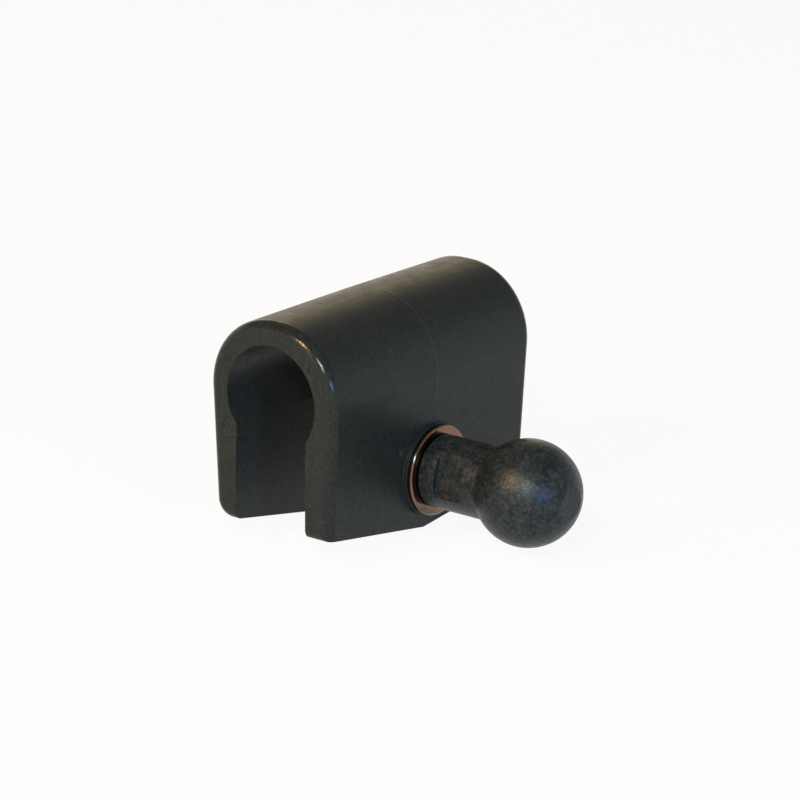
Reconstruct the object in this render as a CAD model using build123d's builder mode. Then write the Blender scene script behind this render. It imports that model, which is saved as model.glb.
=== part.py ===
from build123d import *
import math
import os

# Clip-on ball stud. The origin is on the rod bore's axis, in the mould's parting plane.
# +Y runs along the rod, +X points at the ball, +Z is up. All sizes are in millimetres.

def lean_in(angle, drop):
    """How far a wall that leans by angle moves inward over this drop."""
    return drop * math.tan(math.radians(angle))


def wall_x(angle, z):
    """Half width of the skin at height z, for a side wall that leaves the crown's arc at this lean."""
    lean = math.radians(angle)
    return half_w + crown_r * (1 / math.cos(lean) - 1) + (z - crown_z + crown_r) * math.tan(lean)


# ---- rod bore and entry slot ----
bore_d = 10.2
slot_w = 8.0
slot_flare = 0.5

# ---- outer skin of the clip ----
body_len = 30.0
skin_side = 2.25
skin_crown = 2.2
crown_r = 6.9
skin_draft = 0.3
spring_lean = 3.5
stud_leg_lean = 2.2
rear_rake = 1.2

# ---- underside of the legs, measured down from the bore axis ----
spring_keel_drop = 15.1
stud_keel_drop = 14.25
stud_keel_y = -0.9
spring_front_rise = 11.0
stud_front_rise = 9.0
rear_rise = 6.0

# ---- edge rounding of the clip ----
end_round = 1.0
spring_toe_r = 1.8

# ---- witness marks of the mould's ejector pins, on the front face ----
pin_depth = 0.08
crown_pin_d = 1.5
crown_pin_x = 5.1
crown_pin_z = 3.65
leg_pin_d = 2.0
leg_pin_inset = 0.6
leg_pin_drop = 3.4

# ---- ball stud ----
ball_d = 10.0
ball_flat_d = 3.0
stud_drop = 8.7
stud_reach = 10.1
neck_d = 6.9
flats_w = 5.5
flats_from_seat = 1.8
flats_len = 3.0
flats_turn = 13.0
neck_blend = 0.4
shank_d = 5.0
shank_setback = 0.3
shank_chamfer = 0.5
shoulder_chamfer = 0.15

# ---- washer and its pad ----
washer_d = 8.6
washer_t = 0.5
washer_round = 0.2
washer_play = 0.15
pad_margin = 0.15
pad_rise = 0.05

# ---- fits ----
thread_fit = 0.05

# ---- worked out from the sizes above ----
bore_r = bore_d / 2
half_len = body_len / 2
half_w = bore_r + skin_side
crown_z = bore_r + skin_crown
pad_x = half_w + pad_rise
seat_x = pad_x + washer_t
slot_half = slot_w / 2
skirt_z = spring_keel_drop + 1.0
rear_z = lean_in(rear_rise, half_len) - spring_keel_drop
rear_y = half_len - lean_in(rear_rake, crown_z - rear_z)
slot_wall_x = slot_half + lean_in(slot_flare, stud_drop)
shank_len = seat_x - slot_wall_x - shank_setback


# ================= clip body =================
with BuildPart() as clip_body:
    # Front half of the skin, drawn in the parting plane and drafted towards the front face.
    with BuildSketch(Plane.XZ) as skin:
        with BuildLine():
            Polyline(
                (-wall_x(spring_lean, crown_z), crown_z),
                (wall_x(stud_leg_lean, crown_z), crown_z),
                (wall_x(stud_leg_lean, -skirt_z), -skirt_z),
                (-wall_x(spring_lean, -skirt_z), -skirt_z),
                close=True,
            )
        make_face()
        fillet(skin.vertices().group_by(Axis.Y)[-1], crown_r)
    extrude(amount=half_len, taper=skin_draft)
    mirror(about=Plane.XZ)

    # Side outline: an underside sloping up to both ends, and a rear end raked forward at the bottom.
    with BuildSketch(Plane.YZ):
        with BuildLine():
            Polyline(
                (-half_len, crown_z),
                (-half_len, lean_in(spring_front_rise, half_len) - spring_keel_drop),
                (0, -spring_keel_drop),
                (rear_y, rear_z),
                (half_len, crown_z),
                close=True,
            )
        make_face()
    extrude(amount=half_w, both=True, mode=Mode.INTERSECT)

    # Round toe of the spring leg.
    toe = (
        clip_body.edges()
        .filter_by_position(Axis.X, -half_w, -slot_half)
        .filter_by_position(Axis.Z, -skirt_z, -skirt_z / 2)
        .filter_by(lambda edge: abs(edge.tangent_at(0.5).Y) > 0.9)
    )
    fillet(toe, spring_toe_r)

    # Rounded rims of both end faces, without their bottom edges.
    for end in (0, -1):
        rim = (
            clip_body.faces()
            .sort_by(Axis.Y)[end]
            .edges()
            .filter_by(lambda edge: edge.center().Z > -skirt_z / 2 or edge.center().X < -slot_half)
        )
        fillet(rim, end_round)

    # The stud leg stops short of the spring leg, with its keel a little nearer the front.
    with BuildSketch(Plane.YZ):
        with BuildLine():
            Polyline(
                (-half_len, lean_in(stud_front_rise, half_len + stud_keel_y) - stud_keel_drop),
                (stud_keel_y, -stud_keel_drop),
                (half_len, lean_in(rear_rise, half_len - stud_keel_y) - stud_keel_drop),
                (half_len, -skirt_z),
                (-half_len, -skirt_z),
                close=True,
            )
        make_face()
    extrude(amount=half_w, mode=Mode.SUBTRACT)

    # Seat pad for the washer on the stud leg.
    with BuildSketch(Plane(origin=(pad_x, 0, -stud_drop), z_dir=(1, 0, 0))):
        Circle(washer_d / 2 + pad_margin)
    extrude(amount=-(pad_x - slot_half) / 2)

    # Keyhole: the rod bore and the entry slot below it, open at both ends and underneath.
    with BuildSketch(Plane.XZ) as keyhole:
        Circle(bore_r)
        with BuildLine():
            Polyline(
                (-slot_half, 0),
                (slot_half, 0),
                (slot_half + lean_in(slot_flare, skirt_z), -skirt_z),
                (-slot_half - lean_in(slot_flare, skirt_z), -skirt_z),
                close=True,
            )
        make_face()
    extrude(amount=half_len, both=True, mode=Mode.SUBTRACT)

    # Shallow witness marks of the ejector pins.
    with BuildSketch(Plane(origin=(0, -half_len, 0), x_dir=(1, 0, 0), z_dir=(0, -1, 0))):
        with Locations((crown_pin_x, crown_pin_z), (-crown_pin_x, crown_pin_z)):
            Circle(crown_pin_d / 2)
        with Locations((slot_half + leg_pin_inset, -leg_pin_drop), (-slot_half - leg_pin_inset, -leg_pin_drop)):
            Circle(leg_pin_d / 2)
    extrude(amount=-pin_depth, mode=Mode.SUBTRACT)

    # Hole for the shank, through the stud leg into the slot.
    with Locations(Plane(origin=(pad_x, 0, -stud_drop), z_dir=(1, 0, 0))):
        Hole(shank_d / 2 + thread_fit, depth=pad_x - slot_half)

# ================= washer =================
with BuildPart() as seat_washer:
    with BuildSketch(Plane(origin=(pad_x, 0, -stud_drop), z_dir=(1, 0, 0))):
        Circle(washer_d / 2)
        Circle(shank_d / 2 + washer_play, mode=Mode.SUBTRACT)
    extrude(amount=washer_t)
    outer_rims = seat_washer.edges().filter_by(GeomType.CIRCLE).group_by(SortBy.RADIUS)[-1]
    fillet(outer_rims, washer_round)

# ================= ball stud =================
stud_axis = Plane(origin=(seat_x, 0, -stud_drop), x_dir=(1, 0, 0), z_dir=(0, -1, 0))
neck_r = neck_d / 2
ball_r = ball_d / 2
neck_end = stud_reach - math.sqrt(ball_r**2 - neck_r**2)
tip = stud_reach + math.sqrt(ball_r**2 - (ball_flat_d / 2) ** 2)
with BuildPart() as ball_stud:
    with BuildSketch(stud_axis) as profile:
        with BuildLine():
            Polyline(
                (tip, ball_flat_d / 2),
                (tip, 0),
                (-shank_len, 0),
                (-shank_len, shank_d / 2 - shank_chamfer),
                (-shank_len + shank_chamfer, shank_d / 2),
                (0, shank_d / 2),
                (0, neck_r - shoulder_chamfer),
                (shoulder_chamfer, neck_r),
                (neck_end, neck_r),
            )
            ThreePointArc((neck_end, neck_r), (stud_reach, ball_r), (tip, ball_flat_d / 2))
        make_face()
    revolve(axis=Axis((seat_x, 0, -stud_drop), (1, 0, 0)))

    # Two parallel wrench flats across the neck.
    turn = math.radians(flats_turn)
    flats_plane = Plane(
        origin=(seat_x + flats_from_seat, 0, -stud_drop),
        x_dir=(0, math.cos(turn), -math.sin(turn)),
        z_dir=(1, 0, 0),
    )
    with BuildSketch(flats_plane):
        with Locations((neck_d / 2, 0), (-neck_d / 2, 0)):
            Rectangle(neck_d - flats_w, neck_d)
    extrude(amount=flats_len, mode=Mode.SUBTRACT)

    # Small blend where the neck runs into the ball.
    blend = ball_stud.edges().filter_by(GeomType.CIRCLE).filter_by_position(
        Axis.X, seat_x + neck_end - 0.01, seat_x + neck_end + 0.01
    )
    fillet(blend, neck_blend)

os.makedirs("parts", exist_ok=True)
clip_body.part.label = "clip_body"
seat_washer.part.label = "seat_washer"
ball_stud.part.label = "ball_stud"
export_step(clip_body.part, "parts/clip_body.step")
export_step(seat_washer.part, "parts/seat_washer.step")
export_step(ball_stud.part, "parts/ball_stud.step")
for piece in (clip_body, seat_washer, ball_stud):
    box = piece.part.bounding_box()
    print(piece.part.label, "solids", len(piece.part.solids()), "mm3", round(piece.part.volume, 1))
    print("  from", box.min, "to", box.max)
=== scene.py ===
# %% [markdown]
# This lesson dresses a clip-on ball stud: a black moulded clip that snaps on a 10 mm rod, with a
# blackened steel ball stud held in one leg and a zinc-plated washer under its shoulder. The frame
# already has the right shapes and sizes, so the lesson is about finish, light and camera.

# %% Load the frame
import bpy
import math
from mathutils import Matrix, Vector


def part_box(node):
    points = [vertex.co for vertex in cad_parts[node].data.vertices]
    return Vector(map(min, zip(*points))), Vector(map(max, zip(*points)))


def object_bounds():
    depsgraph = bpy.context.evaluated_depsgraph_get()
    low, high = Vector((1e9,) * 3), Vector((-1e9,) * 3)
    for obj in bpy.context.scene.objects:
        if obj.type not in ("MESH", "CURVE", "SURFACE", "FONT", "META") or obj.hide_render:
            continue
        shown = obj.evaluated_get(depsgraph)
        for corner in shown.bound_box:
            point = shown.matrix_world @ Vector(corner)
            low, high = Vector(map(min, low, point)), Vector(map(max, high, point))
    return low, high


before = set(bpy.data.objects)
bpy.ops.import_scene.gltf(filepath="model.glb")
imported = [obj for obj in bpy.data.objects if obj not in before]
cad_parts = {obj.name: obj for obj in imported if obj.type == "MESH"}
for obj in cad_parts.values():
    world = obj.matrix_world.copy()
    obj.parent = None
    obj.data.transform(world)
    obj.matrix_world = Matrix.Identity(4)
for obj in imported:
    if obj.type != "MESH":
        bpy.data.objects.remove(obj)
cad_low, cad_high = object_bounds()
clip_low, clip_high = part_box("clip_body")
MM = 0.001
print("nodes:", sorted(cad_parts))
print("clip, mm:", [round((high - low) / MM, 2) for low, high in zip(clip_low, clip_high)])

# %% [markdown]
# A few small tools carry the whole lesson. One turns a colour written as on a paint chart into the
# linear numbers that a shader wants. One adds a node with its settings and whatever feeds it, so
# that a material reads as a short list from top to bottom. The last two turn a real size into a
# pattern scale and start a material.

# %% Tools for colours and nodes
def linear(chart, alpha=1.0):
    """sRGB hex to linear RGBA."""
    parts = [int(chart[i:i + 2], 16) / 255 for i in (1, 3, 5)]
    return tuple(c / 12.92 if c <= 0.04045 else ((c + 0.055) / 1.055) ** 2.4 for c in parts) + (alpha,)


def add_node(tree, kind, inputs=None, **settings):
    """One node: settings are its properties, inputs are values or the sockets that feed it."""
    made = tree.nodes.new(kind)
    for name, value in settings.items():
        setattr(made, name, value)
    for socket, value in (inputs or {}).items():
        if isinstance(value, bpy.types.NodeSocket):
            tree.links.new(value, made.inputs[socket])
        else:
            made.inputs[socket].default_value = value
    return made


def per_mm(size_mm):
    """Noise scale that makes features of about this size, for coordinates in metres."""
    return 1 / (size_mm * MM)


def new_material(name):
    """An empty node material, its tree and its output node."""
    material = bpy.data.materials.new(name)
    material.use_nodes = True
    material.node_tree.nodes.clear()
    return material, material.node_tree, add_node(material.node_tree, "ShaderNodeOutputMaterial")


print("mid grey is", [round(c, 3) for c in linear("#808080")[:3]])

# %% [markdown]
# The clip is nylon, injection moulded in black. The sides are satin with a fine pebble, and two
# halves of the mould meet half way along, which leaves a hair-thin witness line round the clip.
# One plain glossy black would look like lacquer: the pebble, a slow change in tone and gloss, and
# the witness line are what make it read as a moulding. The colour comes first. The pebble is
# drawn at 0.28 mm, coarser than such a skin usually has, so that it still shows from this far.

# %% Moulded black nylon: colour
nylon, tree, out = new_material("nylon_black_moulded")
place = add_node(tree, "ShaderNodeTexCoord").outputs["Object"]
axes = add_node(tree, "ShaderNodeSeparateXYZ", {0: place})
flow = add_node(tree, "ShaderNodeTexNoise", {"Vector": place, "Scale": per_mm(4.0), "Detail": 3.0})
pebble = add_node(tree, "ShaderNodeTexNoise", {"Vector": place, "Scale": per_mm(0.28), "Detail": 2.0})
scuff = add_node(tree, "ShaderNodeTexNoise", {"Vector": place, "Scale": per_mm(1.1), "Detail": 4.0})
tone = add_node(tree, "ShaderNodeMixRGB", {
    "Fac": flow.outputs["Fac"], "Color1": linear("#1C2020"), "Color2": linear("#242622")})
fleck = add_node(tree, "ShaderNodeMapRange", {
    "Value": pebble.outputs["Fac"], "From Min": 0.35, "From Max": 0.7, "To Min": 0.75, "To Max": 1.35})
colour = add_node(tree, "ShaderNodeMixRGB", {
    "Fac": 1.0, "Color1": tone.outputs[0], "Color2": fleck.outputs[0]}, blend_type="MULTIPLY")
print(nylon.name, "has its colour")

# %% [markdown]
# The rims of both ends shine more than the flat faces, as they do where a mould has been polished.
# So the roughness drops over the last millimetre or so before each end, comes back on the end face
# itself, and is left alone inside the bore, which is told apart by its distance from the rod's axis.

# %% Moulded black nylon: gloss
end_y = clip_high[1]
rim_inner, rim_outer = end_y - 1.2 * MM, end_y - 0.6 * MM
face_inner, face_outer = end_y - 0.1 * MM, end_y - 0.03 * MM
bore_side, skin_side = 5.6 * MM, 6.1 * MM
rim_shine = 0.42
gloss = add_node(tree, "ShaderNodeMapRange", {
    "Value": scuff.outputs["Fac"], "From Min": 0.3, "From Max": 0.7, "To Min": 0.36, "To Max": 0.46})
from_seam = add_node(tree, "ShaderNodeMath", {0: axes.outputs["Y"]}, operation="ABSOLUTE")
towards_end = add_node(tree, "ShaderNodeMapRange", {
    "Value": from_seam.outputs[0], "From Min": rim_inner, "From Max": rim_outer,
    "To Min": 1.0, "To Max": rim_shine})
end_face = add_node(tree, "ShaderNodeMapRange", {
    "Value": from_seam.outputs[0], "From Min": face_inner, "From Max": face_outer,
    "To Min": 0.0, "To Max": 1.0 - rim_shine})
rim = add_node(tree, "ShaderNodeMath", {
    0: towards_end.outputs[0], 1: end_face.outputs[0]}, operation="ADD")
above = add_node(tree, "ShaderNodeMath", {0: axes.outputs["Z"], 1: 0.0}, operation="MAXIMUM")
across = add_node(tree, "ShaderNodeCombineXYZ", {"X": axes.outputs["X"], "Z": above.outputs[0]})
from_axis = add_node(tree, "ShaderNodeVectorMath", {0: across.outputs[0]}, operation="LENGTH")
skin_only = add_node(tree, "ShaderNodeMapRange", {
    "Value": from_axis.outputs["Value"], "From Min": bore_side, "From Max": skin_side,
    "To Min": 1.0, "To Max": rim.outputs[0]})
gloss = add_node(tree, "ShaderNodeMath", {
    0: gloss.outputs[0], 1: skin_only.outputs[0]}, operation="MULTIPLY")
print("rims shine from", round(rim_inner / MM, 1), "mm")

# %% [markdown]
# The refractive index of nylon is about 1.53. The specular level and the roughness began at
# typical values and were then adjusted until the tones matched. Each sharp edge is softened by
# 0.15 mm, as no moulding has a perfectly sharp one.

# %% Moulded black nylon: relief and shader
seam = add_node(tree, "ShaderNodeMapRange", {
    "Value": from_seam.outputs[0], "From Min": 0.0, "From Max": 0.12 * MM,
    "To Min": 1.0, "To Max": 0.0}, interpolation_type="SMOOTHSTEP")
edges = add_node(tree, "ShaderNodeBevel", {"Radius": 0.15 * MM}, samples=6)
seam_bump = add_node(tree, "ShaderNodeBump", {
    "Strength": 1.0, "Distance": 0.018 * MM, "Height": seam.outputs[0], "Normal": edges.outputs[0]})
pebble_bump = add_node(tree, "ShaderNodeBump", {
    "Strength": 0.35, "Distance": 0.03 * MM, "Height": pebble.outputs["Fac"],
    "Normal": seam_bump.outputs[0]})
skin = add_node(tree, "ShaderNodeBsdfPrincipled", {
    "Base Color": colour.outputs[0], "Roughness": gloss.outputs[0], "IOR": 1.53,
    "Specular IOR Level": 0.17, "Normal": pebble_bump.outputs[0]})
tree.links.new(skin.outputs[0], out.inputs["Surface"])
print("made", nylon.name, "with", len(tree.nodes), "nodes")

# %% [markdown]
# The stud is turned from steel, then blackened and oiled. The black film is a thin oxide layer
# and not bare metal, so the shader is only a quarter metal. Its colour carries grain with painted
# glints: bright specks and a warm and blue tint that copy the highlights of the warm and cool
# lamps. They are drawn at 0.3 mm and up, much coarser than an oxide film really has, so that they
# show from this far. The metal share, the specular level and the roughness were adjusted until
# the tones matched.

# %% Blackened steel: colour
blacked, tree, out = new_material("steel_blackened_turned")
place = add_node(tree, "ShaderNodeTexCoord").outputs["Object"]
grain = add_node(tree, "ShaderNodeTexNoise", {"Vector": place, "Scale": per_mm(0.35), "Detail": 3.0})
film = add_node(tree, "ShaderNodeTexNoise", {"Vector": place, "Scale": per_mm(0.9), "Detail": 4.0})
# Painted glints: a warm and a blue tint in the grain stand in for the lamps' highlights.
painted_glint_noise = add_node(tree, "ShaderNodeTexNoise", {"Vector": place, "Scale": per_mm(0.3), "Detail": 1.0})
film_tone = add_node(tree, "ShaderNodeValToRGB", {"Fac": film.outputs["Fac"]})
painted_glint_tone = add_node(tree, "ShaderNodeValToRGB", {"Fac": painted_glint_noise.outputs["Fac"]})
for ramp, stops in (
    (film_tone.color_ramp, ((0.4, "#1E2425"), (0.6, "#292E2F"))),
    (painted_glint_tone.color_ramp, ((0.42, "#FFD9B0"), (0.58, "#B4D2FF"))),
):
    for stop, (position, chart) in zip(ramp.elements, stops):
        stop.position, stop.color = position, linear(chart)
# Grain with painted sparkle: specks brightened up to 1.9 times stand in for glints.
grain_and_painted_sparkle = add_node(tree, "ShaderNodeMapRange", {
    "Value": grain.outputs["Fac"], "From Min": 0.35, "From Max": 0.72, "To Min": 0.65, "To Max": 1.9})
film_and_painted_glints = add_node(tree, "ShaderNodeMixRGB", {
    "Fac": 0.3, "Color1": film_tone.outputs[0], "Color2": painted_glint_tone.outputs[0]}, blend_type="MULTIPLY")
colour = add_node(tree, "ShaderNodeMixRGB", {
    "Fac": 1.0, "Color1": film_and_painted_glints.outputs[0], "Color2": grain_and_painted_sparkle.outputs[0]}, blend_type="MULTIPLY")
print(blacked.name, "has its colour")

# %% Blackened steel: relief and shader
gloss = add_node(tree, "ShaderNodeMapRange", {
    "Value": film.outputs["Fac"], "From Min": 0.3, "From Max": 0.7, "To Min": 0.34, "To Max": 0.46})
edges = add_node(tree, "ShaderNodeBevel", {"Radius": 0.12 * MM}, samples=6)
grain_bump = add_node(tree, "ShaderNodeBump", {
    "Strength": 0.8, "Distance": 0.05 * MM, "Height": grain.outputs["Fac"],
    "Normal": edges.outputs[0]})
skin = add_node(tree, "ShaderNodeBsdfPrincipled", {
    "Base Color": colour.outputs[0], "Metallic": 0.25, "Roughness": gloss.outputs[0],
    "Specular IOR Level": 0.25, "Normal": grain_bump.outputs[0]})
tree.links.new(skin.outputs[0], out.inputs["Surface"])
print("made", blacked.name, "with", len(tree.nodes), "nodes")

# %% [markdown]
# The washer is punched from strip, plated with zinc and dipped in a yellow passivate. The dip
# dries to an uneven film, here a dull one that drifts between olive, tan and pink, so its colour
# is a ramp of those shades driven by a slow noise. It is fully metal, and the smoothest surface
# on the part. Its scratches are drawn at 0.2 mm, coarser than real ones.

# %% Yellow zinc plate
plated, tree, out = new_material("zinc_yellow_passivated")
place = add_node(tree, "ShaderNodeTexCoord").outputs["Object"]
drift = add_node(tree, "ShaderNodeTexNoise", {"Vector": place, "Scale": per_mm(1.6), "Detail": 2.0})
scratch = add_node(tree, "ShaderNodeTexNoise", {"Vector": place, "Scale": per_mm(0.2), "Detail": 3.0})
drift_tone = add_node(tree, "ShaderNodeValToRGB", {"Fac": drift.outputs["Fac"]})
ramp = drift_tone.color_ramp
for stop, (position, chart) in zip(ramp.elements, ((0.34, "#4F4B3E"), (0.66, "#8A544E"))):
    stop.position, stop.color = position, linear(chart)
ramp.elements.new(0.48).color = linear("#75604F")
gloss = add_node(tree, "ShaderNodeMapRange", {
    "Value": scratch.outputs["Fac"], "From Min": 0.3, "From Max": 0.7, "To Min": 0.1, "To Max": 0.2})
edges = add_node(tree, "ShaderNodeBevel", {"Radius": 0.1 * MM}, samples=6)
scratch_bump = add_node(tree, "ShaderNodeBump", {
    "Strength": 0.25, "Distance": 0.01 * MM, "Height": scratch.outputs["Fac"],
    "Normal": edges.outputs[0]})
skin = add_node(tree, "ShaderNodeBsdfPrincipled", {
    "Base Color": drift_tone.outputs[0], "Metallic": 1.0, "Roughness": gloss.outputs[0],
    "Normal": scratch_bump.outputs[0]})
tree.links.new(skin.outputs[0], out.inputs["Surface"])
print("made", plated.name, "with", len(tree.nodes), "nodes")

# %% [markdown]
# The three pieces came over with the frame and their shapes are final, so they keep their meshes
# and only swap the plain stand-in material for the finish above.

# %% Dress the pieces
finishes = {"clip_body": nylon, "ball_stud": blacked, "seat_washer": plated}
for name, finish in finishes.items():
    piece = bpy.data.objects[name]
    piece.data.materials.clear()
    piece.data.materials.append(finish)
    print(name, "wears", finish.name)

# %% [markdown]
# A small dark part shows up well on white card. The card is lifted nearly to full white where the
# lens or a reflection sees it, and stays plain matt card for the light that it throws back on the
# part, so that it doesn't wash out the black and still takes a faint shadow.

# %% White card
def seen_directly(tree):
    """1 for rays from the lens, or off or through something shiny or clear, and 0 for the rest."""
    rays = add_node(tree, "ShaderNodeLightPath")
    seen = rays.outputs["Is Camera Ray"]
    for kind in ("Is Glossy Ray", "Is Transmission Ray"):
        seen = add_node(tree, "ShaderNodeMath", {
            0: seen, 1: rays.outputs[kind]}, operation="MAXIMUM").outputs[0]
    return rays, seen


card, tree, out = new_material("card_white_matt")
rays, seen = seen_directly(tree)
lift = add_node(tree, "ShaderNodeMath", {0: seen, 1: 0.93}, operation="MULTIPLY")
sheet = add_node(tree, "ShaderNodeBsdfDiffuse", {"Color": linear("#F2F2F2")})
glow = add_node(tree, "ShaderNodeEmission", {"Color": linear("#FFFFFF"), "Strength": 1.0})
both = add_node(tree, "ShaderNodeMixShader", {
    0: lift.outputs[0], 1: sheet.outputs[0], 2: glow.outputs[0]})
tree.links.new(both.outputs[0], out.inputs["Surface"])

floor_half, floor_z = 2.0, cad_low[2]
corners = ((-1, -1), (1, -1), (1, 1), (-1, 1))
floor_mesh = bpy.data.meshes.new("floor")
floor_mesh.from_pydata(
    [(x * floor_half, y * floor_half, floor_z) for x, y in corners], [], [(0, 1, 2, 3)])
floor = bpy.data.objects.new("floor", floor_mesh)
bpy.context.scene.collection.objects.link(floor)
floor.data.materials.append(card)
print("floor at", round(floor_z / MM, 2), "mm")

# %% [markdown]
# To the lens the room is white all over. Reflections see white walls that fall to a dim ceiling
# overhead, and as a source of light it is weaker still. The fall is what shapes the crown: the
# ridge mirrors the bright wall, and just below it the curve turns to mirror the ceiling.

# %% Room
world = bpy.data.worlds.new("room")
bpy.context.scene.world = world
world.use_nodes = True
world.node_tree.nodes.clear()
tree = world.node_tree
rays, seen = seen_directly(tree)
way = add_node(tree, "ShaderNodeTexCoord").outputs["Generated"]
height = add_node(tree, "ShaderNodeSeparateXYZ", {0: way}).outputs["Z"]
ceiling = add_node(tree, "ShaderNodeMapRange", {
    "Value": height, "From Min": 0.2, "From Max": 0.5, "To Min": 1.0, "To Max": 0.25},
    interpolation_type="SMOOTHSTEP")
not_lens = add_node(tree, "ShaderNodeMath", {
    0: rays.outputs["Is Camera Ray"], 1: ceiling.outputs[0]}, operation="MAXIMUM")
level = add_node(tree, "ShaderNodeMapRange", {"Value": seen, "To Min": 0.22, "To Max": 1.0})
level = add_node(tree, "ShaderNodeMath", {
    0: level.outputs[0], 1: not_lens.outputs[0]}, operation="MULTIPLY")
sky = add_node(tree, "ShaderNodeBackground", {"Color": linear("#FFFFFF"), "Strength": level.outputs[0]})
room_out = add_node(tree, "ShaderNodeOutputWorld")
tree.links.new(sky.outputs[0], room_out.inputs["Surface"])
print("room has", len(tree.nodes), "nodes")

# %% [markdown]
# The camera looks at the clip from its front right, a little above, through a long lens. Its
# axes are built from three angles, and it stands off along its own line of sight, moved to the
# right so that the bore's front end lies left of the middle of the frame.

# %% Camera
turn, lift, tip = (math.radians(a) for a in (37.561, 17.578, 0.849))
distance, to_right, to_top = 353.26 * MM, 11.64 * MM, 0.08 * MM
back = Vector((math.sin(turn) * math.cos(lift), -math.cos(turn) * math.cos(lift), math.sin(lift)))
level_right = Vector((math.cos(turn), math.sin(turn), 0))
level_up = back.cross(level_right)
right = math.cos(tip) * level_right + math.sin(tip) * level_up
up = math.cos(tip) * level_up - math.sin(tip) * level_right
front_of_bore = Vector((0, clip_low[1], 0))
stand = front_of_bore + distance * back + to_right * right + to_top * up
lens_data = bpy.data.cameras.new("camera")
lens_data.sensor_width = 36
lens_data.lens = 176.92
lens_data.clip_start = 0.01
camera = bpy.data.objects.new("camera", lens_data)
bpy.context.scene.collection.objects.link(camera)
camera.matrix_world = Matrix.Translation(stand) @ Matrix((right, up, back)).transposed().to_4x4()
bpy.context.scene.camera = camera
print("camera stands", round(stand.length / MM), "mm from the bore")

# %% [markdown]
# Four soft lamps: a warm one high on the left, a white one beside the lens, a cool one on the
# right, and a warm one behind that skims along the crown. Each is placed by the direction that it
# comes from, as seen by the camera: to the right, up and towards the lens.

# %% Lamps
lamp_distance = 600 * MM
lamps = (
    # name, right, up, towards the lens, size in mm, watts, colour
    ("lamp_warm", -0.60, 0.38, 0.72, 100, 3.0, "#FFD0A0"),
    ("lamp_white", -0.10, 0.22, 0.98, 90, 2.4, "#F4FFF4"),
    ("lamp_cool", 0.46, -0.05, 0.88, 80, 1.4, "#6FAEFF"),
    ("lamp_back", -0.02, 0.55, -0.80, 320, 0.3, "#FFE096"),
)
for name, side, rise, depth, size_mm, watts, chart in lamps:
    data = bpy.data.lights.new(name, "AREA")
    data.size = size_mm * MM
    data.energy = watts
    data.color = linear(chart)[:3]
    lamp = bpy.data.objects.new(name, data)
    bpy.context.scene.collection.objects.link(lamp)
    way = (side * right + rise * up + depth * back).normalized()
    lamp.location = lamp_distance * way
    lamp.rotation_euler = way.to_track_quat("Z", "Y").to_euler()
    lamp.visible_camera = False
    print(name, "at", [round(c, 2) for c in lamp.location])

# %% [markdown]
# Colours are shown as they are, with no film look on top.

# %% Finish
view = bpy.context.scene.view_settings
view.view_transform = "Standard"
